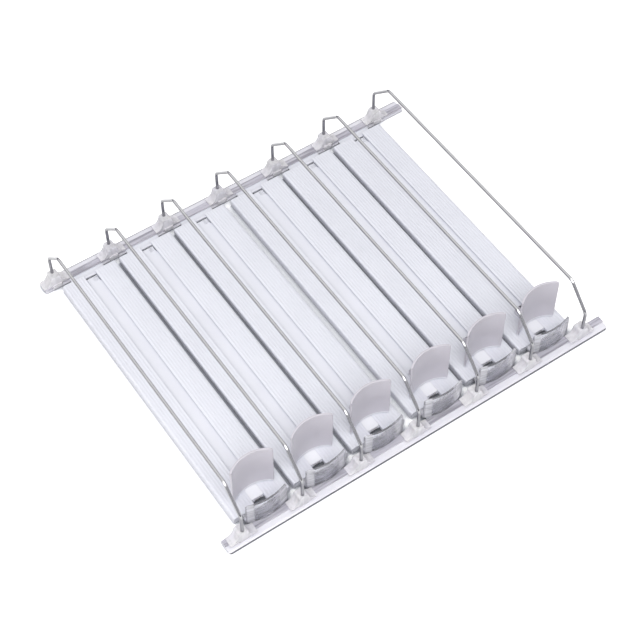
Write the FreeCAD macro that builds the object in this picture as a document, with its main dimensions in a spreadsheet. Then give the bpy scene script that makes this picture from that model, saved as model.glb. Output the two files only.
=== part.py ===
import FreeCAD, Part
import math
import os

import Sketcher

# Can organizer for a fridge shelf: two clear rails carry six track boards side by side. Each board has
# a sprung pusher behind the cans and a clear stop in front of them, and bent wires divide the lanes.
# Frame: X runs to the right along the rails, Y from the front to the back, Z up from the shelf.
# The origin is the middle of the outline on the shelf. All sizes are in millimetres.

LANES = 6
WIDE_LANE = 3
RIBS_PER_SIDE = 7
CROSS_RIBS = 5
RIDGES = 3

SIZES = {
    # Lanes and boards
    "lane_pitch": 70.0,
    "wide_lane_extra": 4.0,
    "board_gap": 4.6,
    "board_front_setback": 19.0,
    "board_rear_setback": 16.6,
    "board_height": 8.7,
    "board_wall": 1.8,
    "board_top": 2.0,
    "board_round": 2.5,
    "spine_width": 22.0,
    "spine_wall": 1.5,
    "spine_floor": 2.2,
    "cross_rib_drop": 3.0,
    "channel_width": 14.0,
    "channel_depth": 2.0,
    "channel_undercut": 1.2,
    "rib_width": 0.8,
    "rib_height": 0.3,
    "rib_margin": 3.0,
    "rib_edge": 2.7,
    "notch_length": 7.3,
    "end_wall": 2.0,
    "latch_length": 8.5,
    "latch_slit": 0.7,
    "latch_gap": 2.5,
    "latch_margin": 3.0,
    # Rails
    "rail_left_overhang": 19.5,
    "rail_right_overhang": 31.0,
    "rear_rail_shift": 5.0,
    "lip_front": 7.5,
    "lip_edge": 1.5,
    "lip_bevel": 2.5,
    "lip_height": 2.5,
    "step_inset": 0.5,
    "rail_top_depth": 7.5,
    "rail_height": 4.6,
    "rail_skin": 1.4,
    "rail_base": 1.2,
    "rail_web": 2.0,
    "flange_depth": 1.2,
    "ridge_width": 0.8,
    "ridge_height": 0.3,
    "rail_corner": 3.0,
    # Board tongues in the rail slots
    "tongue_width": 40.0,
    "tongue_end_gap": 2.9,
    "seat_gap": 0.2,
    # Divider wires
    "wire_gauge": 3.5,
    "wire_span": 378.0,
    "wire_inset": 27.5,
    "wire_shoulder": 43.0,
    "wire_height": 71.0,
    "wire_bend": 10.0,
    "wire_foot": 12.0,
    # Sockets for the wires
    "socket_width": 11.0,
    "socket_height": 18.0,
    "socket_front": 3.25,
    "socket_back": 8.0,
    "socket_flare": 10.0,
    "socket_skirt": 1.0,
    "socket_round": 2.5,
    "socket_clip": 1.5,
    "wire_fit": 0.1,
    # Front stops
    "stop_radius": 61.0,
    "stop_wall": 2.0,
    "stop_gap": 0.6,
    "stop_margin_top": 11.8,
    "stop_margin_base": 10.8,
    "stop_height": 36.0,
    "stop_corner": 3.5,
    "stop_base": 3.0,
    "stop_finger_width": 10.0,
    "stop_finger_middle": 18.0,
    "stop_finger_reach": 9.0,
    "stop_finger_height": 1.6,
    # Pushers
    "paddle_radius": 36.4,
    "paddle_wall": 2.2,
    "paddle_back": 22.8,
    "paddle_margin_top": 10.0,
    "paddle_margin_base": 11.9,
    "paddle_height": 68.0,
    "paddle_corner": 3.0,
    "slide_gap": 0.3,
    "keel_drop": 0.4,
    "keel_front_gap": 1.0,
    "coil_slot": 9.6,
    "cheek_wall": 1.5,
    # Flat springs
    "coil_radius": 6.5,
    "coil_bore": 3.0,
    "coil_gap": 1.0,
    "ribbon_width": 8.0,
    "ribbon_thickness": 0.2,
    "ribbon_gap": 0.3,
    # How far a cut reaches past the surface that it opens
    "cut_past": 1.0,
}


class Size:
    """A length that keeps its value together with its formula in the sheet."""

    def __init__(self, value, formula):
        self.value = float(value)
        self.formula = formula

    def __add__(self, other):
        other = as_size(other)
        return Size(self.value + other.value, f"({self.formula} + {other.formula})")

    def __sub__(self, other):
        other = as_size(other)
        return Size(self.value - other.value, f"({self.formula} - {other.formula})")

    def __mul__(self, other):
        other = as_size(other)
        return Size(self.value * other.value, f"({self.formula} * {other.formula})")

    def __truediv__(self, other):
        other = as_size(other)
        return Size(self.value / other.value, f"({self.formula} / {other.formula})")

    def __neg__(self):
        return Size(-self.value, f"(0 - {self.formula})")


def as_size(number):
    if isinstance(number, Size):
        return number
    return Size(number, str(number))


def root(square):
    return Size(math.sqrt(square.value), f"sqrt({square.formula})")


document = FreeCAD.newDocument("can_organizer")
sheet = document.addObject("Spreadsheet::Sheet", "Sizes")
for row, (alias, number) in enumerate(SIZES.items(), start=1):
    sheet.set(f"A{row}", alias)
    sheet.set(f"B{row}", str(number))
    sheet.setAlias(f"B{row}", alias)
document.recompute()


def size(alias):
    return Size(SIZES[alias], f"Sizes.{alias}")


NOTHING = Size(0, "0")


def new_body(label, across=NOTHING, along=NOTHING, turned=False):
    """Start a body whose own origin stands at the given place on the shelf."""
    body = document.addObject("PartDesign::Body", label)
    body.Label = label
    turn = FreeCAD.Rotation(FreeCAD.Vector(0, 0, 1), 180 if turned else 0)
    body.Placement = FreeCAD.Placement(FreeCAD.Vector(across.value, along.value, 0), turn)
    body.setExpression("Placement.Base.x", across.formula)
    body.setExpression("Placement.Base.y", along.formula)
    return body


def new_copy(source, label, across, along=NOTHING, turned=False):
    """Repeat a body at another place. The copy follows every change of its source."""
    body = new_body(label, across, along, turned)
    copy = body.newObject("PartDesign::FeatureBase", "copy")
    copy.BaseFeature = source
    body.Tip = copy
    return body


def origin_plane(body, role):
    for feature in body.Origin.OriginFeatures:
        if feature.Role == role:
            return feature
    raise ValueError(role)


def new_sketch(body, name, role, lift=NOTHING):
    """Attach an empty sketch to one of the body's planes, lifted along the plane's normal."""
    sketch = body.newObject("Sketcher::SketchObject", name)
    sketch.AttachmentSupport = (origin_plane(body, role), [""])
    sketch.MapMode = "FlatFace"
    sketch.AttachmentOffset = FreeCAD.Placement(
        FreeCAD.Vector(0, 0, lift.value), FreeCAD.Rotation()
    )
    sketch.setExpression("AttachmentOffset.Base.z", lift.formula)
    return sketch


def constrain(sketch, plain, sized):
    """Add the constraints in one go. Each sized one follows its formula."""
    entries = [Sketcher.Constraint(kind, *targets) for kind, targets in plain]
    entries += [Sketcher.Constraint(kind, *targets, length.value) for kind, targets, length in sized]
    numbers = sketch.addConstraint(entries)[len(plain):]
    for number, (kind, targets, length) in zip(numbers, sized):
        sketch.setExpression(f"Constraints[{number}]", length.formula)


def vector(point):
    return FreeCAD.Vector(point[0].value, point[1].value, 0)


def arc_edge(start, end, radius, side):
    """An arc that bulges to the left of its chord for side 1, to the right for side -1."""
    chord = end - start
    half = chord.Length / 2
    sagitta = radius - math.sqrt(radius * radius - half * half)
    left = FreeCAD.Vector(-chord.y, chord.x, 0).normalize()
    middle = (start + end) * 0.5 + left * (side * sagitta)
    return Part.Arc(start, middle, end)


def draw(sketch, corners, closed=True):
    """Draw an outline. A corner is (x, y), or (x, y, radius, side) where an arc leaves it."""
    corners = [tuple(as_size(entry) for entry in corner) for corner in corners]
    count = len(corners) if closed else len(corners) - 1
    edges = []
    for index in range(count):
        start = vector(corners[index])
        end = vector(corners[(index + 1) % len(corners)])
        if len(corners[index]) == 4:
            radius, side = corners[index][2:]
            edges.append(arc_edge(start, end, radius.value, side.value))
        else:
            edges.append(Part.LineSegment(start, end))
    numbers = sketch.addGeometry(edges, False)
    plain = []
    sized = []
    before = None
    for number, corner in zip(numbers, corners):
        forward = (sketch.getPoint(number, 1) - vector(corner)).Length < 1e-6
        first, last = (1, 2) if forward else (2, 1)
        if before:
            plain.append(("Coincident", (*before, number, first)))
        before = (number, last)
        sized.append(("DistanceX", (-1, 1, number, first), corner[0]))
        sized.append(("DistanceY", (-1, 1, number, first), corner[1]))
        if len(corner) == 4:
            sized.append(("Radius", (number,), corner[2]))
    if closed:
        start_point = 1 if (sketch.getPoint(numbers[0], 1) - vector(corners[0])).Length < 1e-6 else 2
        plain.append(("Coincident", (*before, numbers[0], start_point)))
    else:
        sized.append(("DistanceX", (-1, 1, *before), corners[-1][0]))
        sized.append(("DistanceY", (-1, 1, *before), corners[-1][1]))
    constrain(sketch, plain, sized)


def draw_circle(sketch, x, y, radius):
    x, y = as_size(x), as_size(y)
    centre = FreeCAD.Vector(x.value, y.value, 0)
    number = sketch.addGeometry(Part.Circle(centre, FreeCAD.Vector(0, 0, 1), radius.value), False)
    constrain(sketch, [], [
        ("DistanceX", (-1, 1, number, 3), x),
        ("DistanceY", (-1, 1, number, 3), y),
        ("Radius", (number,), radius),
    ])


def box_corners(left, low, right, high):
    return [(left, low), (right, low), (right, high), (left, high)]


def mirrored(corners):
    """The same outline on the other side of the middle plane."""
    flipped = []
    for corner in corners:
        flipped.append((-as_size(corner[0]), corner[1]))
    return flipped


def extrude(body, kind, name, sketch, length, both_ways=False, flip=False):
    feature = body.newObject(f"PartDesign::{kind}", name)
    feature.Profile = sketch
    feature.Length = length.value
    feature.setExpression("Length", length.formula)
    feature.Reversed = flip
    if both_ways:
        feature.SideType = "Symmetric"
    sketch.Visibility = False
    body.Tip = feature
    return feature


def pad(body, name, sketch, length, **options):
    return extrude(body, "Pad", name, sketch, length, **options)


def pocket(body, name, sketch, length, **options):
    return extrude(body, "Pocket", name, sketch, length, **options)


def side_cuts(half_base, half_top, low, high, corner):
    """The two outlines outside a plate whose sides lean to rounded top corners."""
    widest = half_base if half_base.value > half_top.value else half_top
    reach = widest + size("cut_past")
    lean = half_base - half_top
    rise = high - low
    slope = root(lean * lean + rise * rise)
    run = corner * rise / (slope + lean)
    right = [
        (half_base, low),
        (reach, low),
        (reach, high + size("cut_past")),
        (half_top - run, high + size("cut_past")),
        (half_top - run, high, corner, 1),
        (half_top + run * lean / slope, high - run * rise / slope),
    ]
    left = []
    for point in right:
        left.append((-as_size(point[0]), *point[1:3], -1) if len(point) == 4 else (-point[0], point[1]))
    return right, left


# Places shared by the pieces
leg_line = size("wire_span") / 2
wires_span = size("lane_pitch") * LANES + size("wide_lane_extra")
rail_length = size("rail_left_overhang") + wires_span + size("rail_right_overhang")
first_wire = size("rail_left_overhang") - rail_length / 2 - size("rear_rail_shift") / 2
rail_seat = size("rail_height") + size("ridge_height")
lane_half = size("lane_pitch") / 2
socket_reach = size("socket_width") / 2 + size("socket_flare")
board_half = lane_half - size("board_gap") / 2
board_end = size("board_front_setback")
board_length = size("wire_span") - board_end - size("board_rear_setback")
board_middle = (board_end - size("board_rear_setback")) / 2
notch_back = board_end + size("notch_length")
channel_floor = size("board_height") - size("channel_depth")
rib_top = size("board_height") + size("rib_height")
ceiling = size("board_height") - size("board_top")
slot_roof = size("rail_height") - size("rail_skin")
rail_inner = size("step_inset") + size("rail_top_depth")
slot_back = size("step_inset") + size("rail_web")
paddle_rear = board_end + size("paddle_back") + size("paddle_wall")
coil_middle = paddle_rear + size("coil_gap") + size("coil_radius")
coil_height = channel_floor + size("ribbon_thickness") * 2 + size("coil_radius")
coil_room = size("coil_radius") + size("coil_gap")


def wire_place(index):
    place = first_wire + size("lane_pitch") * index
    return place + size("wide_lane_extra") if index > WIDE_LANE else place


def lane_place(index):
    return wire_place(index + 1) - lane_half


def make_rail(body):
    """An extruded rail: a low lip outside, a ridged top over a slot, and a flange inside."""
    section = new_sketch(body, "section", "YZ_Plane")
    flange_end = rail_inner + size("flange_depth")
    draw(section, [
        (-size("lip_front"), 0),
        (flange_end, 0),
        (flange_end, size("rail_base")),
        (slot_back, size("rail_base")),
        (slot_back, slot_roof),
        (rail_inner, slot_roof),
        (rail_inner, size("rail_height")),
        (size("step_inset"), size("rail_height")),
        (size("step_inset"), size("lip_height")),
        (size("lip_bevel") - size("lip_front"), size("lip_height")),
        (-size("lip_front"), size("lip_edge")),
    ])
    pad(body, "extrusion", section, rail_length, both_ways=True)
    ridges = new_sketch(body, "ridge_section", "YZ_Plane")
    ridge_step = (size("rail_top_depth") - size("ridge_width")) / (RIDGES - 1)
    for index in range(RIDGES):
        low = size("step_inset") + ridge_step * index
        draw(ridges, box_corners(low, slot_roof, low + size("ridge_width"), rail_seat))
    pad(body, "ridges", ridges, rail_length, both_ways=True)
    corners = new_sketch(body, "corner_plan", "XY_Plane")
    end = rail_length / 2
    round_off = size("rail_corner")
    edge = -size("lip_front")
    past = size("cut_past")
    draw(corners, [
        (end, edge + round_off, round_off, 1),
        (end - round_off, edge),
        (end - round_off, edge - past),
        (end + past, edge - past),
        (end + past, edge + round_off),
    ])
    draw(corners, [
        (-end, edge + round_off, round_off, -1),
        (round_off - end, edge),
        (round_off - end, edge - past),
        (-end - past, edge - past),
        (-end - past, edge + round_off),
    ])
    pocket(body, "end_rounding", corners, size("rail_height"), flip=True)


def make_board(body):
    """A moulded board, open below, with a guide channel along its middle and ribs under the cans."""
    half = board_half
    inner = half - size("board_wall")
    top = size("board_height")
    rounding = size("board_round")
    half_length = board_length / 2
    shell = new_sketch(body, "shell_section", "XZ_Plane")
    draw(shell, [
        (half, 0),
        (half, top - rounding, rounding, -1),
        (half - rounding, top),
        (rounding - half, top, rounding, -1),
        (-half, top - rounding),
        (-half, 0),
        (-inner, 0),
        (-inner, ceiling),
        (inner, ceiling),
        (inner, 0),
    ])
    pad(body, "shell", shell, board_length, both_ways=True)
    spine = new_sketch(body, "spine_section", "XZ_Plane")
    spine_half = size("spine_width") / 2
    hollow_half = spine_half - size("spine_wall")
    hollow_top = channel_floor - size("spine_floor")
    draw(spine, [
        (spine_half, 0),
        (spine_half, top - size("board_top") / 2),
        (-spine_half, top - size("board_top") / 2),
        (-spine_half, 0),
        (-hollow_half, 0),
        (-hollow_half, hollow_top),
        (hollow_half, hollow_top),
        (hollow_half, 0),
    ])
    pad(body, "spine", spine, board_length, both_ways=True)
    ribs = new_sketch(body, "rib_section", "XZ_Plane")
    first_rib = size("channel_width") / 2 + size("rib_margin")
    last_rib = half - size("rib_edge") - size("rib_width")
    for rib in range(RIBS_PER_SIDE):
        low = first_rib + (last_rib - first_rib) * rib / (RIBS_PER_SIDE - 1)
        outline = box_corners(low, ceiling, low + size("rib_width"), rib_top)
        draw(ribs, outline)
        draw(ribs, mirrored(outline))
    pad(body, "ribs", ribs, board_length, both_ways=True)
    channel = new_sketch(body, "channel_section", "XZ_Plane")
    mouth = size("channel_width") / 2
    bed = mouth + size("channel_undercut")
    past = size("cut_past")
    draw(channel, [
        (mouth, top),
        (mouth, rib_top + past),
        (-mouth, rib_top + past),
        (-mouth, top),
        (-bed, channel_floor),
        (bed, channel_floor),
    ])
    pocket(body, "channel", channel, board_length + past * 2, both_ways=True)
    openings = new_sketch(body, "opening_plan", "XY_Plane")
    notch_end = size("notch_length") - half_length
    draw(openings, box_corners(-mouth, -half_length - past, mouth, notch_end))
    slit_end = half_length - size("latch_margin")
    slit_start = slit_end - size("latch_gap")
    side = mouth - size("latch_slit")
    draw(openings, [
        (-mouth, slit_end),
        (-mouth, slit_start - size("latch_length")),
        (-side, slit_start - size("latch_length")),
        (-side, slit_start),
        (side, slit_start),
        (side, slit_start - size("latch_length")),
        (mouth, slit_start - size("latch_length")),
        (mouth, slit_end),
    ])
    pocket(body, "openings", openings, rib_top + past, flip=True)
    tongue_half = size("tongue_width") / 2
    for end, way in (("front", -1), ("rear", 1)):
        setback = size(f"board_{end}_setback")
        wall = new_sketch(body, f"{end}_wall_plan", "XY_Plane")
        edge = half_length * way
        draw(wall, box_corners(-inner, edge - size("end_wall") * way, inner, edge))
        pad(body, f"{end}_wall", wall, hollow_top)
        tongue = new_sketch(body, f"{end}_tongue_plan", "XY_Plane", size("rail_base"))
        tip = edge + (setback - slot_back - size("tongue_end_gap")) * way
        draw(tongue, box_corners(-tongue_half, edge - size("end_wall") * way, tongue_half, tip))
        pad(body, f"{end}_tongue", tongue, slot_roof - size("rail_base") - size("seat_gap"))
    cross = new_sketch(body, "cross_rib_plan", "XY_Plane", size("cross_rib_drop"))
    step = board_length / (CROSS_RIBS + 1)
    for rib in range(CROSS_RIBS):
        middle = step * (rib + 1) - half_length
        half_wall = size("spine_wall") / 2
        draw(cross, box_corners(-inner, middle - half_wall, inner, middle + half_wall))
    pad(body, "cross_ribs", cross, ceiling - size("cross_rib_drop"))


def make_wire(body):
    """A divider bent from round wire: two legs, two sloping shoulders and a level run."""
    inset = size("wire_inset")
    rise = size("wire_height") - size("wire_shoulder")
    slope = root(inset * inset + rise * rise)
    bend = size("wire_bend")
    lower = bend * inset / (slope + rise)
    upper = bend * rise / (slope + inset)
    leg = leg_line
    shoulder = size("wire_shoulder")
    high = size("wire_height")
    front = [
        (-leg, size("wire_foot")),
        (-leg, shoulder - lower, bend, 1),
        (lower * inset / slope - leg, shoulder + lower * rise / slope),
        (inset - leg - upper * inset / slope, high - upper * rise / slope, bend, 1),
        (inset - leg + upper, high),
    ]
    back = [
        (leg - inset - upper, high, bend, 1),
        (leg - inset + upper * inset / slope, high - upper * rise / slope),
        (leg - lower * inset / slope, shoulder + lower * rise / slope, bend, 1),
        (leg, shoulder - lower),
        (leg, size("wire_foot")),
    ]
    path = new_sketch(body, "path", "YZ_Plane")
    draw(path, [*front, *back], closed=False)
    section = new_sketch(body, "wire_section", "XY_Plane", size("wire_foot"))
    draw_circle(section, 0, -leg, size("wire_gauge") / 2)
    pipe = body.newObject("PartDesign::AdditivePipe", "bent_wire")
    pipe.Profile = section
    pipe.Spine = (path, [f"Edge{number + 1}" for number in range(path.GeometryCount)])
    body.Tip = pipe


def make_socket(body):
    """A clear socket that clips round the rail's top and holds one leg of a wire."""
    half = size("socket_width") / 2
    flare = size("socket_flare")
    skirt_top = rail_seat + size("socket_skirt")
    high = size("socket_height")
    rounding = size("socket_round")
    boss = new_sketch(body, "boss_section", "XZ_Plane", size("socket_front"))
    draw(boss, [
        (half + flare, rail_seat),
        (half + flare, skirt_top, flare, 1),
        (half, skirt_top + flare),
        (half, high - rounding, rounding, -1),
        (half - rounding, high),
        (rounding - half, high, rounding, -1),
        (-half, high - rounding),
        (-half, skirt_top + flare, flare, 1),
        (-half - flare, skirt_top),
        (-half - flare, rail_seat),
    ])
    pad(body, "boss", boss, size("socket_front") + size("socket_back"), flip=True)
    clip = new_sketch(body, "clip_section", "YZ_Plane")
    inside = rail_inner + size("seat_gap")
    outside = inside + size("socket_clip")
    hook = size("step_inset") + size("rail_web") + size("socket_clip")
    step = size("step_inset") - size("seat_gap")
    draw(clip, [
        (-size("socket_front"), size("lip_height")),
        (step, size("lip_height")),
        (step, rail_seat),
        (inside, rail_seat),
        (inside, slot_roof - size("seat_gap")),
        (hook, slot_roof - size("seat_gap")),
        (hook, size("rail_base")),
        (outside, size("rail_base")),
        (outside, rail_seat + size("socket_clip")),
        (-size("socket_front"), rail_seat + size("socket_clip")),
    ])
    pad(body, "clip", clip, size("socket_width"), both_ways=True)
    bore = new_sketch(body, "bore_plan", "XY_Plane", high)
    draw_circle(bore, 0, 0, size("wire_gauge") / 2 + size("wire_fit"))
    pocket(body, "bore", bore, high - size("wire_foot"))


def curved_wall(half_width, radius, wall, front):
    """Plan of a wall on an arc that is hollow towards the back, with radial ends."""
    inner_radius = radius - wall
    share = inner_radius / radius
    depth = root(radius * radius - half_width * half_width)
    centre = front + radius
    return [
        (-half_width, centre - depth, radius, -1),
        (half_width, centre - depth),
        (half_width * share, centre - depth * share, inner_radius, 1),
        (-half_width * share, centre - depth * share),
    ]


def make_stop(body):
    """A clear curved wall in front of the cans, on a base between the rail and the board."""
    half = lane_half - size("stop_margin_base")
    radius = size("stop_radius")
    beside = lane_half - socket_reach
    front = size("socket_back") + size("stop_gap") - radius + root(radius * radius - beside * beside)
    base_back = board_end - size("seat_gap")
    base = new_sketch(body, "base_plan", "XY_Plane", rail_seat)
    depth = root(radius * radius - half * half)
    side = front + radius - depth
    draw(base, [(-half, side, radius, -1), (half, side), (half, base_back), (-half, base_back)])
    pad(body, "base", base, size("stop_base"))
    wall = new_sketch(body, "wall_plan", "XY_Plane", rail_seat)
    draw(wall, curved_wall(half, radius, size("stop_wall"), front))
    pad(body, "wall", wall, size("stop_height") - rail_seat)
    cuts = new_sketch(body, "side_cuts", "XZ_Plane")
    low = rail_seat + size("stop_base")
    half_top = lane_half - size("stop_margin_top")
    for outline in side_cuts(half, half_top, low, size("stop_height"), size("stop_corner")):
        draw(cuts, outline)
    pocket(body, "sides", cuts, board_end)
    fingers = new_sketch(body, "finger_plan", "XY_Plane", rail_seat)
    near = size("stop_finger_middle") - size("stop_finger_width") / 2
    far = near + size("stop_finger_width")
    root_overlap = base_back - size("cut_past")
    finger = box_corners(near, root_overlap, far, base_back + size("stop_finger_reach"))
    draw(fingers, finger)
    draw(fingers, mirrored(finger))
    pad(body, "fingers", fingers, size("stop_finger_height"))


def make_pusher(body):
    """A curved paddle on a keel that runs in the board's channel, with a housing for its spring."""
    radius = size("paddle_radius") + size("paddle_wall")
    half = lane_half - size("paddle_margin_top")
    half_base = lane_half - size("paddle_margin_base")
    low = rib_top + size("slide_gap")
    high = size("paddle_height")
    share = size("paddle_radius") / radius
    depth = root(radius * radius - half * half)
    centre = paddle_rear - radius
    plan = new_sketch(body, "paddle_plan", "XY_Plane", low)
    draw(plan, [
        (half * share, centre + depth * share, size("paddle_radius"), -1),
        (-half * share, centre + depth * share),
        (-half, centre + depth, radius, 1),
        (half, centre + depth),
    ])
    pad(body, "paddle", plan, high - low)
    cuts = new_sketch(body, "side_cuts", "XZ_Plane")
    for outline in side_cuts(half_base, half, low, high, size("paddle_corner")):
        draw(cuts, outline)
    pocket(body, "sides", cuts, paddle_rear)
    make_keel(body, low)
    make_housing(body, low)


def make_keel(body, low):
    """The dovetail in the channel: low in front of the paddle, and raised to carry it behind."""
    gap = size("slide_gap") / 2
    mouth = size("channel_width") / 2 - gap
    depth = size("channel_depth")
    bed = mouth + size("channel_undercut") * (depth - gap) / depth
    floor = channel_floor + gap
    sunk = size("board_height") - size("keel_drop")
    sunk_half = mouth + size("channel_undercut") * size("keel_drop") / depth
    front = notch_back + size("keel_front_gap")
    middle = paddle_rear - size("paddle_wall")
    back = paddle_rear + coil_room * 2 + size("cheek_wall")
    tongue = new_sketch(body, "tongue_section", "XZ_Plane", -front)
    draw(tongue, [(bed, floor), (sunk_half, sunk), (-sunk_half, sunk), (-bed, floor)])
    pad(body, "tongue", tongue, back - front, flip=True)
    keel = new_sketch(body, "keel_section", "XZ_Plane", -middle)
    draw(keel, [
        (bed, floor),
        (mouth, size("board_height")),
        (mouth, low + size("paddle_wall")),
        (-mouth, low + size("paddle_wall")),
        (-mouth, size("board_height")),
        (-bed, floor),
    ])
    pad(body, "keel", keel, back - middle, flip=True)


def make_housing(body, low):
    """Two cheeks and an end wall round the rolled spring, with a pin through it."""
    back = paddle_rear + coil_room * 2 + size("cheek_wall")
    crown = coil_room + size("cheek_wall")
    past = size("cut_past")
    inside = paddle_rear - size("paddle_wall") / 2
    housing = new_sketch(body, "housing_section", "YZ_Plane")
    draw(housing, [
        (inside, low),
        (back, low),
        (back, coil_height, crown, -1),
        (coil_middle, coil_height + crown),
        (inside, coil_height + crown),
    ])
    pad(body, "housing", housing, size("coil_slot") + size("cheek_wall") * 2, both_ways=True)
    slot = new_sketch(body, "coil_slot_section", "YZ_Plane")
    slot_end = back - size("cheek_wall")
    draw(slot, box_corners(paddle_rear, channel_floor, slot_end, coil_height + crown + past))
    pocket(body, "coil_slot", slot, size("coil_slot"), both_ways=True)
    tunnel = new_sketch(body, "ribbon_tunnel_section", "YZ_Plane")
    tunnel_top = channel_floor + size("ribbon_thickness") + size("ribbon_gap")
    draw(tunnel, box_corners(board_end, channel_floor, paddle_rear + past, tunnel_top))
    pocket(body, "ribbon_tunnel", tunnel, size("coil_slot"), both_ways=True)
    pin = new_sketch(body, "pin_section", "YZ_Plane")
    draw_circle(pin, coil_middle, coil_height, size("coil_bore") - size("slide_gap"))
    pad(body, "pin", pin, size("coil_slot") + size("cheek_wall"), both_ways=True)


def make_coil(body):
    """The rolled part of the flat spring, on the pin between the housing's cheeks."""
    section = new_sketch(body, "coil_section", "YZ_Plane")
    draw_circle(section, coil_middle, coil_height, size("coil_radius"))
    draw_circle(section, coil_middle, coil_height, size("coil_bore"))
    pad(body, "coil", section, size("ribbon_width"), both_ways=True)


def make_ribbon(body):
    """The drawn-out end of the flat spring, held in the notch at the board's front."""
    low = channel_floor
    thickness = size("ribbon_thickness")
    strip = new_sketch(body, "strip_section", "YZ_Plane")
    draw(strip, [
        (notch_back - thickness, low - size("spine_floor")),
        (notch_back, low - size("spine_floor")),
        (notch_back, low),
        (coil_middle, low),
        (coil_middle, low + thickness),
        (notch_back - thickness, low + thickness),
    ])
    pad(body, "strip", strip, size("ribbon_width"), both_ways=True)


rail_shift = size("rear_rail_shift") / 2
front_rail = new_body("front_rail", -rail_shift, -leg_line)
make_rail(front_rail)
bodies = [front_rail, new_copy(front_rail, "rear_rail", rail_shift, leg_line, turned=True)]

LANE_PIECES = (
    ("track_board", make_board, board_middle),
    ("front_stop", make_stop, -leg_line),
    ("pusher", make_pusher, -leg_line),
    ("spring_coil", make_coil, -leg_line),
    ("spring_ribbon", make_ribbon, -leg_line),
)
for name, make_piece, along in LANE_PIECES:
    first = new_body(f"{name}_1", lane_place(0), along)
    make_piece(first)
    bodies.append(first)
    for lane in range(1, LANES):
        bodies.append(new_copy(first, f"{name}_{lane + 1}", lane_place(lane), along))

first_wire_body = new_body("divider_wire_1", wire_place(0))
make_wire(first_wire_body)
first_socket = new_body("front_socket_1", wire_place(0), -leg_line)
make_socket(first_socket)
bodies += [first_wire_body, first_socket]
for divider in range(1, LANES + 1):
    place = wire_place(divider)
    bodies.append(new_copy(first_wire_body, f"divider_wire_{divider + 1}", place))
    bodies.append(new_copy(first_socket, f"front_socket_{divider + 1}", place, -leg_line))
for divider in range(LANES + 1):
    label = f"rear_socket_{divider + 1}"
    bodies.append(new_copy(first_socket, label, wire_place(divider), leg_line, turned=True))

document.recompute()
for item in document.Objects:
    if "Invalid" in item.State or "Error" in item.State:
        raise RuntimeError(f"{item.Name} in {item.Label} failed: {item.State}")
os.makedirs("parts", exist_ok=True)
for body in bodies:
    if body.Shape.isNull() or not body.Shape.isValid() or len(body.Shape.Solids) != 1:
        raise RuntimeError(f"{body.Label} is not one valid solid")
    body.Shape.exportStep(os.path.join("parts", f"{body.Label}.step"))
print(f"{len(bodies)} pieces written")
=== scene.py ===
from collections import namedtuple
import math

import bmesh
import bpy
from mathutils import Matrix, Vector


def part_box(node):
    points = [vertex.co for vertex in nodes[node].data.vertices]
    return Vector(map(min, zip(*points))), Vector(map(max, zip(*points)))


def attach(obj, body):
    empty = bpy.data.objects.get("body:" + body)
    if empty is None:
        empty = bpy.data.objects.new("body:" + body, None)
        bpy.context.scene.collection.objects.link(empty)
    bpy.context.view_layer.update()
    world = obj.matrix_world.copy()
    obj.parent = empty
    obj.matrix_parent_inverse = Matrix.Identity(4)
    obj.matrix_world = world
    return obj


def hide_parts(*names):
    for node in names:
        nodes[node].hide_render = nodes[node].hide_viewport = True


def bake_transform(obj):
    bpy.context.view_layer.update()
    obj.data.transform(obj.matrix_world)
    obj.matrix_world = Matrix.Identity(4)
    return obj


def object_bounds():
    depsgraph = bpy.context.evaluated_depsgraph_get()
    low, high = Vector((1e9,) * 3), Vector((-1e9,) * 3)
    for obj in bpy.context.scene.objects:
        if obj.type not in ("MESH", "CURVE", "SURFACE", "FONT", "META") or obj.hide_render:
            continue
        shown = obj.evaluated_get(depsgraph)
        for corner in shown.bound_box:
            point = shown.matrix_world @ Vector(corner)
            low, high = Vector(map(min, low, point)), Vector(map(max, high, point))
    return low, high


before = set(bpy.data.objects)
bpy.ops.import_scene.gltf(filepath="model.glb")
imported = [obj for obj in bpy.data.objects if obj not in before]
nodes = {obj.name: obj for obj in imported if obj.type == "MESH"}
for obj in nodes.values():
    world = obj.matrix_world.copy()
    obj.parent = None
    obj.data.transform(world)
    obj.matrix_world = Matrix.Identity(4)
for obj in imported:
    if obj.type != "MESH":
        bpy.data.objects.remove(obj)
cad_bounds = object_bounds()

MM = 0.001
BASE = "base"

# Camera, fitted to the photograph: degrees, pixels in a 640 pixel frame, and metres
CAMERA_AZIMUTH = -34.3
CAMERA_ELEVATION = 54.44
CAMERA_ROLL = -0.05
CAMERA_FOCAL = 1602.2
CAMERA_PLACE = (-0.57049, -0.83574, 1.38966)
FRAME_SIZE = 640
SENSOR_WIDTH = 36.0
NEAREST = 0.05
FARTHEST = 20.0


def family(name):
    """A node's name without its number."""
    stem, _, number = name.rpartition("_")
    return stem if number.isdigit() else name


def of_family(kind):
    return [node for name, node in nodes.items() if family(name) == kind]


def number_of(node):
    return node.name.rpartition("_")[2]


def box_of(node):
    """A node's lowest and highest corners at rest."""
    return [Vector(corner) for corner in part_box(node.name)]


def add_to_scene(thing):
    bpy.context.scene.collection.objects.link(thing)


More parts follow.
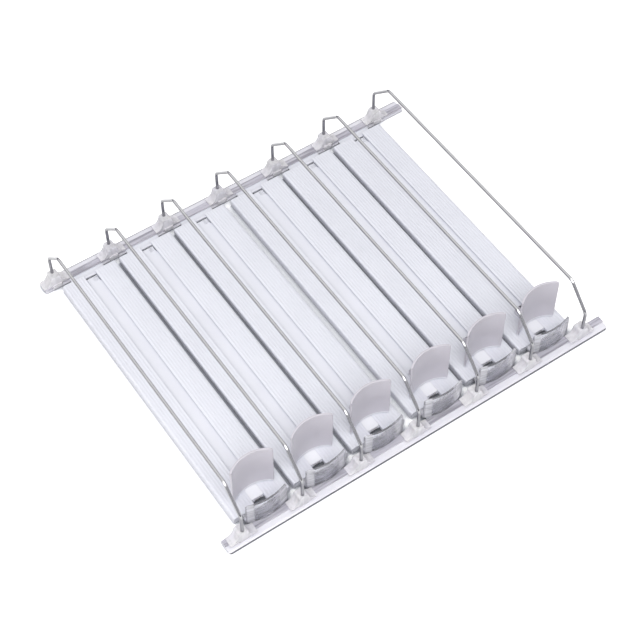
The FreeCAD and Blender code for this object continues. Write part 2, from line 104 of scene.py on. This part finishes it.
def make_camera():
    data = bpy.data.cameras.new("camera")
    camera = bpy.data.objects.new("camera", data)
    add_to_scene(camera)
    turn, lift, roll = (math.radians(a) for a in (CAMERA_AZIMUTH, CAMERA_ELEVATION, CAMERA_ROLL))
    right = Vector((math.cos(turn), math.sin(turn), 0))
    back = Vector((math.sin(turn) * math.cos(lift), -math.cos(turn) * math.cos(lift), math.sin(lift)))
    up = back.cross(right)
    axis_x = right * math.cos(roll) + up * math.sin(roll)
    axis_y = up * math.cos(roll) - right * math.sin(roll)
    rotation = Matrix((axis_x, axis_y, back)).transposed().to_4x4()
    camera.matrix_world = Matrix.Translation(Vector(CAMERA_PLACE)) @ rotation
    data.sensor_width = SENSOR_WIDTH
    data.lens = CAMERA_FOCAL / FRAME_SIZE * SENSOR_WIDTH
    data.clip_start = NEAREST
    data.clip_end = FARTHEST
    bpy.context.scene.camera = camera


# A noise texture: cells a metre, stretch along each axis, detail and roughness
Texture = namedtuple("Texture", "scale stretch detail roughness", defaults=((1, 1, 1), 3.0, 0.55))

ALONG_STEEL = (14.0, 1.0, 14.0)
CLOUD = Texture(22.0, detail=4.0)
PLASTIC_SHINE = Texture(60.0)
SINK = Texture(35.0, detail=1.0)
DRAG = Texture(700.0, (1, 0.02, 0.6), 2.0)
GRAIN = Texture(2600.0, detail=2.0)
FLOW = Texture(30.0, (1, 2.5, 1))
CLEAR_SHINE = Texture(90.0)
WAVE_SCALE = 90.0
SCRATCHES = Texture(900.0, (0.15, 1, 1), 2.0)
STEEL_STREAKS = Texture(60.0, ALONG_STEEL, 5.0, 0.65)
STEEL_SHINE = Texture(120.0, ALONG_STEEL)

# Heights of the relief, and how strongly it shows where that is the same for all parts
SINK_HEIGHT = 0.6 * MM
SINK_STRENGTH = 0.25
DRAG_HEIGHT = 0.08 * MM
DRAG_STRENGTH = 0.12
GRAIN_HEIGHT = 0.06 * MM
WAVE_HEIGHT = 0.8 * MM
SCRATCH_HEIGHT = 0.04 * MM
SCRATCH_STRENGTH = 0.2
STREAK_HEIGHT = 0.05 * MM
STREAK_STRENGTH = 0.3

# Radii that edges seem rounded by
PLASTIC_EDGE = 0.5 * MM
CLEAR_EDGE = 0.4 * MM
EDGE_SAMPLES = 4

PLASTIC_IOR = 1.49
WHITE = (1, 1, 1)
BLACK = (0, 0, 0)

# Where along a noise or crease factor the dark tone ends and the light one begins
PLASTIC_TONES = (0.3, 0.7)
STEEL_TONES = (0.25, 0.75)
LINE_TONES = (0.38, 0.56)
CREASE_SHADE_TONES = (0.25, 0.85)
UNDERSIDE_TONES = (0.15, 0.6)

CREASE_REACH = 3.0 * MM
CREASE_SAMPLES = 8

# How far a roughness goes below and above its mean
PLASTIC_ROUGH = (-0.06, 0.08)
CLEAR_ROUGH = (0.0, 0.1)
STEEL_ROUGH = (-0.06, 0.1)


def new_material(name):
    material = bpy.data.materials.new(name)
    material.use_nodes = True
    tree = material.node_tree
    return material, tree, tree.nodes["Principled BSDF"]


def grey(level):
    return (level, level, level)


def coordinates(tree, kind):
    return tree.nodes.new("ShaderNodeTexCoord").outputs[kind]


def along(tree, vector, axis):
    """One coordinate of a vector."""
    split = tree.nodes.new("ShaderNodeSeparateXYZ")
    tree.links.new(vector, split.inputs["Vector"])
    return split.outputs[axis]


def noise(tree, texture):
    """A noise on the part's own coordinates in metres, stretched by a factor along each axis."""
    mapping = tree.nodes.new("ShaderNodeMapping")
    mapping.inputs["Scale"].default_value = texture.stretch
    tree.links.new(coordinates(tree, "Object"), mapping.inputs["Vector"])
    node = tree.nodes.new("ShaderNodeTexNoise")
    node.inputs["Scale"].default_value = texture.scale
    node.inputs["Detail"].default_value = texture.detail
    node.inputs["Roughness"].default_value = texture.roughness
    tree.links.new(mapping.outputs["Vector"], node.inputs["Vector"])
    return node.outputs["Fac"]


def ramp(tree, factor, stops):
    """Colours at given places of a factor."""
    node = tree.nodes.new("ShaderNodeValToRGB")
    elements = node.color_ramp.elements
    for element, (place, colour) in zip(elements, (stops[0], stops[-1])):
        element.position = place
        element.color = (*colour, 1)
    for place, colour in stops[1:-1]:
        elements.new(place).color = (*colour, 1)
    tree.links.new(factor, node.inputs["Fac"])
    return node.outputs["Color"]


def tone(tree, factor, places, dark, light):
    """A ramp from a dark to a light colour between two places of a factor."""
    return ramp(tree, factor, [(places[0], dark), (places[1], light)])


def spread(tree, factor, middle, reach):
    """A value that follows a factor from below to above its middle."""
    node = tree.nodes.new("ShaderNodeMapRange")
    node.inputs["To Min"].default_value = middle + reach[0]
    node.inputs["To Max"].default_value = middle + reach[1]
    tree.links.new(factor, node.inputs["Value"])
    return node.outputs["Result"]


def calculate(tree, operation, first, second):
    """A math node on a socket and a socket or number."""
    node = tree.nodes.new("ShaderNodeMath")
    node.operation = operation
    tree.links.new(first, node.inputs[0])
    if isinstance(second, float):
        node.inputs[1].default_value = second
    else:
        tree.links.new(second, node.inputs[1])
    return node.outputs[0]


def mix(tree, first, second, factor=None, kind="MIX"):
    """Two colours mixed by a factor. The second is a socket, or a plain colour."""
    node = tree.nodes.new("ShaderNodeMix")
    node.data_type = "RGBA"
    node.blend_type = kind
    node.inputs["Factor"].default_value = 1.0
    if factor is not None:
        tree.links.new(factor, node.inputs["Factor"])
    tree.links.new(first, node.inputs["A"])
    if isinstance(second, tuple):
        node.inputs["B"].default_value = (*second, 1)
    else:
        tree.links.new(second, node.inputs["B"])
    return node.outputs["Result"]


def multiply(tree, colour, shade, factor=None):
    return mix(tree, colour, shade, factor, "MULTIPLY")


def bump(tree, height, distance, strength, before=None):
    """A relief, on top of the normal that an earlier one gives."""
    node = tree.nodes.new("ShaderNodeBump")
    node.inputs["Distance"].default_value = distance
    node.inputs["Strength"].default_value = strength
    tree.links.new(height, node.inputs["Height"])
    if before is not None:
        tree.links.new(before, node.inputs["Normal"])
    return node.outputs["Normal"]


def soft_edges(tree, radius):
    node = tree.nodes.new("ShaderNodeBevel")
    node.samples = EDGE_SAMPLES
    node.inputs["Radius"].default_value = radius
    return node.outputs["Normal"]


def openness(tree, reach, samples):
    """From 0 in a narrow crease to 1 on open ground."""
    node = tree.nodes.new("ShaderNodeAmbientOcclusion")
    node.samples = samples
    node.inputs["Distance"].default_value = reach
    return node.outputs["AO"]


def by_height(tree, stops):
    """A colour that depends on the height above the shelf, given in metres."""
    low = stops[0][0]
    high = stops[-1][0]
    height = tree.nodes.new("ShaderNodeMapRange")
    height.inputs["From Min"].default_value = low
    height.inputs["From Max"].default_value = high
    tree.links.new(along(tree, coordinates(tree, "Object"), "Z"), height.inputs["Value"])
    places = [((z - low) / (high - low), shade) for z, shade in stops]
    return ramp(tree, height.outputs["Result"], places)


def by_width(tree, stops):
    """A grey that depends on the place along the part's own width, from 0 to 1."""
    place = along(tree, coordinates(tree, "Generated"), "X")
    return ramp(tree, place, [(at, grey(level)) for at, level in stops])


def by_facing(tree, underside_reflection):
    """A painted dark reflection for the sides and the underside, which face a dim room on polished metal."""
    facing = along(tree, coordinates(tree, "Normal"), "Z")
    return tone(tree, facing, UNDERSIDE_TONES, underside_reflection, WHITE)


def painted_foot_reflection(tree):
    """1 along the foot of a rail's outermost edge, front and back, where a dark line is painted: a painted
    dark reflection.
    """
    place = coordinates(tree, "Object")
    away = tree.nodes.new("ShaderNodeMath")
    away.operation = "ABSOLUTE"
    tree.links.new(along(tree, place, "Y"), away.inputs[0])
    outer = calculate(tree, "GREATER_THAN", away.outputs[0], RAIL_REACH)
    low = calculate(tree, "LESS_THAN", along(tree, place, "Z"), RAIL_FOOT)
    return calculate(tree, "MULTIPLY", outer, low)


def white_plastic(name, light, dark, rough, grain, crease, shade_by_height):
    """Moulded white plastic: cloudy tone, fine drag lines along the part, a spark-eroded grain, painted
    shade by height and painted shade in creases.
    """
    material, tree, shader = new_material(name)
    colour = tone(tree, noise(tree, CLOUD), PLASTIC_TONES, dark, light)
    # Painted shade by height: each part's table makes some heights darker
    colour = multiply(tree, colour, by_height(tree, shade_by_height))
    # Painted shade: darker in creases and recesses, where less light reaches
    shade = tone(tree, openness(tree, CREASE_REACH, CREASE_SAMPLES), CREASE_SHADE_TONES, crease, WHITE)
    tree.links.new(multiply(tree, colour, shade), shader.inputs["Base Color"])
    uneven = spread(tree, noise(tree, PLASTIC_SHINE), rough, PLASTIC_ROUGH)
    tree.links.new(uneven, shader.inputs["Roughness"])
    edges = soft_edges(tree, PLASTIC_EDGE)
    sink = bump(tree, noise(tree, SINK), SINK_HEIGHT, SINK_STRENGTH, edges)
    drag = bump(tree, noise(tree, DRAG), DRAG_HEIGHT, DRAG_STRENGTH, sink)
    fine = bump(tree, noise(tree, GRAIN), GRAIN_HEIGHT, grain, drag)
    tree.links.new(fine, shader.inputs["Normal"])
    shader.inputs["IOR"].default_value = PLASTIC_IOR
    return material


def clear_plastic(name, light, dark, clearness, rough, wave, waves_along, lines, line_shade,
                  is_rail=False):
    """Clear moulded plastic with a cool tint, fine lines, faint waves and hairline scratches.

    Its clearness is a number, or a list of stops along the part's width.
    """
    material, tree, shader = new_material(name)
    colour = tone(tree, noise(tree, FLOW), PLASTIC_TONES, dark, light)
    lined = tone(tree, noise(tree, lines), LINE_TONES, grey(line_shade), WHITE)
    if is_rail:
        colour = multiply(tree, colour, lined, by_height(tree, RAIL_LINED))
        # Painted shade: the rail's top is darker
        colour = multiply(tree, colour, by_height(tree, RAIL_TOP_SHADE))
        # Painted dark reflection along the rail's outer foot
        colour = mix(tree, colour, RAIL_FOOT_REFLECTION, painted_foot_reflection(tree))
    else:
        colour = multiply(tree, colour, lined)
    tree.links.new(colour, shader.inputs["Base Color"])
    uneven = spread(tree, noise(tree, CLEAR_SHINE), rough, CLEAR_ROUGH)
    tree.links.new(uneven, shader.inputs["Roughness"])
    edges = soft_edges(tree, CLEAR_EDGE)
    waves = bump(tree, noise(tree, Texture(WAVE_SCALE, waves_along)), WAVE_HEIGHT, wave, edges)
    scratched = bump(tree, noise(tree, SCRATCHES), SCRATCH_HEIGHT, SCRATCH_STRENGTH, waves)
    tree.links.new(scratched, shader.inputs["Normal"])
    shader.inputs["IOR"].default_value = PLASTIC_IOR
    if isinstance(clearness, float):
        shader.inputs["Transmission Weight"].default_value = clearness
    else:
        tree.links.new(by_width(tree, clearness), shader.inputs["Transmission Weight"])
    return material


def steel(name, light, dark, rough, underside_reflection=None):
    """Drawn steel: streaks along the wire or strip, with a slightly uneven shine, and where one is given a
    painted dark reflection on the sides and underside.
    """
    material, tree, shader = new_material(name)
    streaks = noise(tree, STEEL_STREAKS)
    colour = tone(tree, streaks, STEEL_TONES, dark, light)
    if underside_reflection:
        colour = multiply(tree, colour, by_facing(tree, underside_reflection))
    tree.links.new(colour, shader.inputs["Base Color"])
    uneven = spread(tree, noise(tree, STEEL_SHINE), rough, STEEL_ROUGH)
    tree.links.new(uneven, shader.inputs["Roughness"])
    tree.links.new(bump(tree, streaks, STREAK_HEIGHT, STREAK_STRENGTH), shader.inputs["Normal"])
    shader.inputs["Metallic"].default_value = 1.0
    return material


# A board's sides are painted a little darker than its top, a painted shade
BOARD_SIDE_SHADE = [(0.0, grey(0.95)), (7.5 * MM, grey(0.95)), (8.4 * MM, WHITE)]
BOARD = white_plastic("board_plastic", light=(0.755, 0.762, 0.822), dark=(0.725, 0.732, 0.792),
                      rough=0.36, grain=0.1, crease=(0.86, 0.87, 0.89), shade_by_height=BOARD_SIDE_SHADE)

# A pusher's foot is as white as the board, and its paddle is painted darker and a little warmer, a painted
# shade
PAINTED_PADDLE_SHADE = (0.69, 0.66, 0.69)
PUSHER_SHADE_BY_HEIGHT = [(0.0, WHITE), (10.5 * MM, WHITE), (12.0 * MM, PAINTED_PADDLE_SHADE), (70.0 * MM, PAINTED_PADDLE_SHADE)]
PUSHER = white_plastic("pusher_plastic", light=(0.83, 0.835, 0.87), dark=(0.80, 0.805, 0.84),
                       rough=0.32, grain=0.15, crease=(0.7, 0.68, 0.74), shade_by_height=PUSHER_SHADE_BY_HEIGHT)

# A rail shows its lines on top, where it lies over a hollow. Its top is painted greyer, a painted shade, and
# its outer foot is painted dark, a painted dark reflection
RAIL_TOP_SHADE = [(0.0, WHITE), (3.2 * MM, WHITE), (4.4 * MM, (0.74, 0.73, 0.77))]
RAIL_LINED = [(0.0, BLACK), (3.8 * MM, BLACK), (4.6 * MM, WHITE)]
RAIL_REACH = cad_bounds[1][1] - 1.0 * MM
RAIL_FOOT = 1.7 * MM
RAIL_FOOT_REFLECTION = (0.07, 0.07, 0.09)
RAIL_LINES = Texture(360.0, (0.05, 1, 1), 2.0)
RAIL = clear_plastic("rail_plastic", light=(0.90, 0.89, 0.94), dark=(0.82, 0.81, 0.88), clearness=0.25,
                     rough=0.14, wave=0.6, waves_along=(0.2, 1, 1), lines=RAIL_LINES, line_shade=0.6,
                     is_rail=True)

SOCKET_LINES = Texture(300.0, (1, 1, 0.2), 2.0)
SOCKET = clear_plastic("socket_plastic", light=(1.0, 0.985, 1.0), dark=(0.95, 0.935, 1.0), clearness=0.38,
                       rough=0.02, wave=0.18, waves_along=(1, 1, 0.3), lines=SOCKET_LINES, line_shade=0.88)

# A stop is clear in the middle, and made milky at its right end and beside its left one, so those places
# show lighter, a painted highlight
STOP_CLEARNESS_AND_HIGHLIGHT = [(0.0, 0.9), (0.04, 0.35), (0.15, 0.45), (0.2, 0.88), (0.68, 0.88), (0.82, 0.6), (1.0, 0.5)]
STOP_LINES = Texture(420.0, (0.12, 0.12, 1), 2.0)
STOP = clear_plastic("stop_plastic", light=(0.9, 0.9, 0.94), dark=(0.74, 0.74, 0.8),
                     clearness=STOP_CLEARNESS_AND_HIGHLIGHT, rough=0.02, wave=0.6, waves_along=(1, 1, 0.12),
                     lines=STOP_LINES, line_shade=0.7)

WIRE = steel("divider_steel", light=(0.78, 0.78, 0.79), dark=(0.66, 0.66, 0.68), rough=0.1,
             underside_reflection=(0.42, 0.42, 0.44))
STRIP = steel("spring_steel", light=(0.66, 0.66, 0.67), dark=(0.5, 0.5, 0.52), rough=0.3)

FINISHES = {
    "front_rail": RAIL,
    "rear_rail": RAIL,
    "track_board": BOARD,
    "front_stop": STOP,
    "pusher": PUSHER,
    "spring_coil": STRIP,
    "spring_ribbon": STRIP,
    "divider_wire": WIRE,
    "front_socket": SOCKET,
    "rear_socket": SOCKET,
}


def dress(node):
    node.data.materials.clear()
    node.data.materials.append(FINISHES[family(node.name)])
    for polygon in node.data.polygons:
        polygon.material_index = 0


def new_piece(name, mesh, material):
    piece = bpy.data.objects.new(name, mesh)
    add_to_scene(piece)
    mesh.materials.append(material)
    return piece


def skin_rings(mesh, rings):
    """Side faces between rings of four points, and a face at each end."""
    for before, after in zip(rings, rings[1:]):
        for index in range(4):
            following = (index + 1) % 4
            mesh.faces.new((before[index], before[following], after[following], after[index]))
    mesh.faces.new(rings[0][::-1])
    mesh.faces.new(rings[-1])


def finish_mesh(mesh, name):
    bmesh.ops.recalc_face_normals(mesh, faces=mesh.faces)
    data = bpy.data.meshes.new(name)
    mesh.to_mesh(data)
    mesh.free()
    return data


# The flat springs. The roll is a spiral on the housing's pin, and the strip is drawn out of it.
COIL_TURNS = 13
COIL_STEPS = 40
COIL_BORE_SHARE = 0.46
COIL_START = -math.pi / 2
STRIP_THICKNESS = 0.2 * MM
STRIP_STEPS = 120


def make_roll(coil):
    """A spiral of thin strip with the plain roll's width, bore and outer size."""
    low, high = box_of(coil)
    middle = (low + high) / 2
    outer = (high.z - low.z) / 2
    bore = outer * COIL_BORE_SHARE
    pitch = (outer - bore - STRIP_THICKNESS) / COIL_TURNS
    mesh = bmesh.new()
    rings = []
    for step in range(COIL_TURNS * COIL_STEPS + 1):
        turn = step / COIL_STEPS
        angle = COIL_START + 2 * math.pi * turn
        inside = outer - STRIP_THICKNESS - pitch * turn
        outside = inside + STRIP_THICKNESS
        ring = []
        for radius, side in ((inside, low.x), (outside, low.x), (outside, high.x), (inside, high.x)):
            place = (side, middle.y + radius * math.cos(angle), middle.z + radius * math.sin(angle))
            ring.append(mesh.verts.new(place))
        rings.append(ring)
    skin_rings(mesh, rings)
    number = number_of(coil)
    data = finish_mesh(mesh, f"roll_{number}")
    piece = new_piece(f"spring_roll_{number}", data, STRIP)
    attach(piece, f"pusher_unit_{number}")
    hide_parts(coil.name)


def make_strip(ribbon):
    """The drawn strip: hooked down at the board's notch, then flat in the channel as far as the roll."""
    low, high = box_of(ribbon)
    thin = STRIP_THICKNESS
    pairs = [((low.y, low.z), (low.y + thin, low.z)), ((low.y, high.z), (low.y + thin, high.z - thin))]
    for step in range(1, STRIP_STEPS + 1):
        place = low.y + thin + (high.y - low.y - thin) * step / STRIP_STEPS
        pairs.append(((place, high.z), (place, high.z - thin)))
    mesh = bmesh.new()
    rings = []
    for outer, inner in pairs:
        places = ((low.x, *outer), (high.x, *outer), (high.x, *inner), (low.x, *inner))
        rings.append([mesh.verts.new(place) for place in places])
    skin_rings(mesh, rings)
    number = number_of(ribbon)
    data = finish_mesh(mesh, f"strip_{number}")
    piece = new_piece(f"spring_strip_{number}", data, STRIP)
    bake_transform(piece)
    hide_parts(ribbon.name)


# The grip on the rear latch: a thin plate with small studs, placed from the tip of the board's tongue
GRIP_SIDE = 5.6 * MM
GRIP_PLATE = 0.12 * MM
GRIP_FROM_TIP = 17.6 * MM
GRIP_SHIFT = 3.2 * MM
GRIP_ROWS = 4
LATCH_TOP = 6.7 * MM
STUD_WIDTH = 0.8 * MM
STUD_HEIGHT = 0.3 * MM
STUD_TAPER = 0.6


def block(mesh, low, high, taper):
    """A box whose top is smaller than its foot by the taper."""
    middle = (low + high) / 2
    rings = []
    for height, scale in ((low.z, 1.0), (high.z, taper)):
        half = (high - low) / 2 * scale
        rings.append([mesh.verts.new((middle.x + a * half.x, middle.y + b * half.y, height))
                      for a, b in ((-1, -1), (1, -1), (1, 1), (-1, 1))])
    skin_rings(mesh, rings)


def make_grip(board):
    low, high = box_of(board)
    corner = Vector(((low.x + high.x) / 2 + GRIP_SHIFT - GRIP_SIDE / 2,
                     high.y - GRIP_FROM_TIP - GRIP_SIDE, LATCH_TOP))
    mesh = bmesh.new()
    block(mesh, corner, corner + Vector((GRIP_SIDE, GRIP_SIDE, GRIP_PLATE)), 1.0)
    pitch = GRIP_SIDE / GRIP_ROWS
    stud = Vector((STUD_WIDTH, STUD_WIDTH, STUD_HEIGHT))
    for column in range(GRIP_ROWS):
        for row in range(GRIP_ROWS):
            foot = corner + Vector(((column + 0.5) * pitch - STUD_WIDTH / 2,
                                    (row + 0.5) * pitch - STUD_WIDTH / 2, GRIP_PLATE))
            block(mesh, foot, foot + stud, STUD_TAPER)
    number = number_of(board)
    data = finish_mesh(mesh, f"grip_{number}")
    piece = new_piece(f"latch_grip_{number}", data, BOARD)
    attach(piece, BASE)


FLOOR_HALF = 3.0
FLOOR_DROP = 0.6 * MM
FLOOR_ROUGHNESS = 0.9
FLOOR_SPECULAR = 0.1
FLOOR_REACH = 12.0 * MM
FLOOR_SAMPLES = 16
# Painted shade: dark in the gaps between the boards, and nearly white in the open
FLOOR_GAP_SHADE = [(0.3, (0.13, 0.135, 0.15)), (0.45, (0.3, 0.31, 0.34)), (0.52, (0.5, 0.51, 0.54)),
                (0.7, (0.9, 0.9, 0.9))]
# What the floor adds for the camera, and how clear plastic sees it
FLOOR_LIFT = 0.4
FLOOR_THROUGH_CLEAR = (0.8, 0.8, 0.85)


def make_floor():
    """White paper with painted shade: it turns dark only in narrow gaps and right beside the object."""
    material, tree, shader = new_material("floor_paper")
    shader.inputs["Roughness"].default_value = FLOOR_ROUGHNESS
    shader.inputs["Specular IOR Level"].default_value = FLOOR_SPECULAR
    shade = ramp(tree, openness(tree, FLOOR_REACH, FLOOR_SAMPLES), FLOOR_GAP_SHADE)
    tree.links.new(shade, shader.inputs["Base Color"])
    rays = tree.nodes.new("ShaderNodeLightPath")
    through = rays.outputs["Is Transmission Ray"]
    tree.links.new(mix(tree, shade, FLOOR_THROUGH_CLEAR, through), shader.inputs["Emission Color"])
    lift = calculate(tree, "MULTIPLY", rays.outputs["Is Camera Ray"], FLOOR_LIFT)
    tree.links.new(calculate(tree, "MAXIMUM", lift, through), shader.inputs["Emission Strength"])
    mesh = bpy.data.meshes.new("floor")
    corners = [(-FLOOR_HALF, -FLOOR_HALF, 0), (FLOOR_HALF, -FLOOR_HALF, 0),
               (FLOOR_HALF, FLOOR_HALF, 0), (-FLOOR_HALF, FLOOR_HALF, 0)]
    mesh.from_pydata(corners, [], [(0, 1, 2, 3)])
    mesh.materials.append(material)
    floor = bpy.data.objects.new("floor", mesh)
    floor.location.z = -FLOOR_DROP
    add_to_scene(floor)


# Lights aim at the middle of the object's foot. A large one from the front, and a weak one from the left
KEY_PLACE = (-0.5, -1.2, 2.2)
KEY_SIZE = 2.2
KEY_POWER = 37
SIDE_PLACE = (-1.5, -0.6, 0.8)
SIDE_SIZE = 1.0
SIDE_POWER = 7


def make_light(name, place, size, power):
    data = bpy.data.lights.new(name, "AREA")
    data.shape = "DISK"
    data.size = size
    data.energy = power
    light = bpy.data.objects.new(name, data)
    light.location = place
    light.rotation_mode = "QUATERNION"
    light.rotation_quaternion = (-Vector(place)).to_track_quat("-Z", "Y")
    add_to_scene(light)


SKY = [(0.0, (0.1, 0.1, 0.12)), (0.3, (0.3, 0.3, 0.34)), (0.6, WHITE)]
SKY_STRENGTH = 0.85


def make_world():
    """A studio that is bright above and dim at the horizon, and plain white to the camera."""
    world = bpy.data.worlds.new("studio")
    bpy.context.scene.world = world
    world.use_nodes = True
    tree = world.node_tree
    studio = tree.nodes["Background"]
    sky = ramp(tree, along(tree, coordinates(tree, "Generated"), "Z"), SKY)
    tree.links.new(sky, studio.inputs["Color"])
    studio.inputs["Strength"].default_value = SKY_STRENGTH
    plain = tree.nodes.new("ShaderNodeBackground")
    plain.inputs["Color"].default_value = (*WHITE, 1)
    rays = tree.nodes.new("ShaderNodeLightPath")
    choice = tree.nodes.new("ShaderNodeMixShader")
    tree.links.new(rays.outputs["Is Camera Ray"], choice.inputs["Fac"])
    tree.links.new(studio.outputs["Background"], choice.inputs[1])
    tree.links.new(plain.outputs["Background"], choice.inputs[2])
    tree.links.new(choice.outputs["Shader"], tree.nodes["World Output"].inputs["Surface"])


for node in nodes.values():
    dress(node)
for coil in of_family("spring_coil"):
    make_roll(coil)
for ribbon in of_family("spring_ribbon"):
    make_strip(ribbon)
for board in of_family("track_board"):
    make_grip(board)

make_camera()
make_floor()
make_world()
make_light("key", KEY_PLACE, KEY_SIZE, KEY_POWER)
make_light("side", SIDE_PLACE, SIDE_SIZE, SIDE_POWER)
bpy.context.scene.view_settings.view_transform = "Standard"
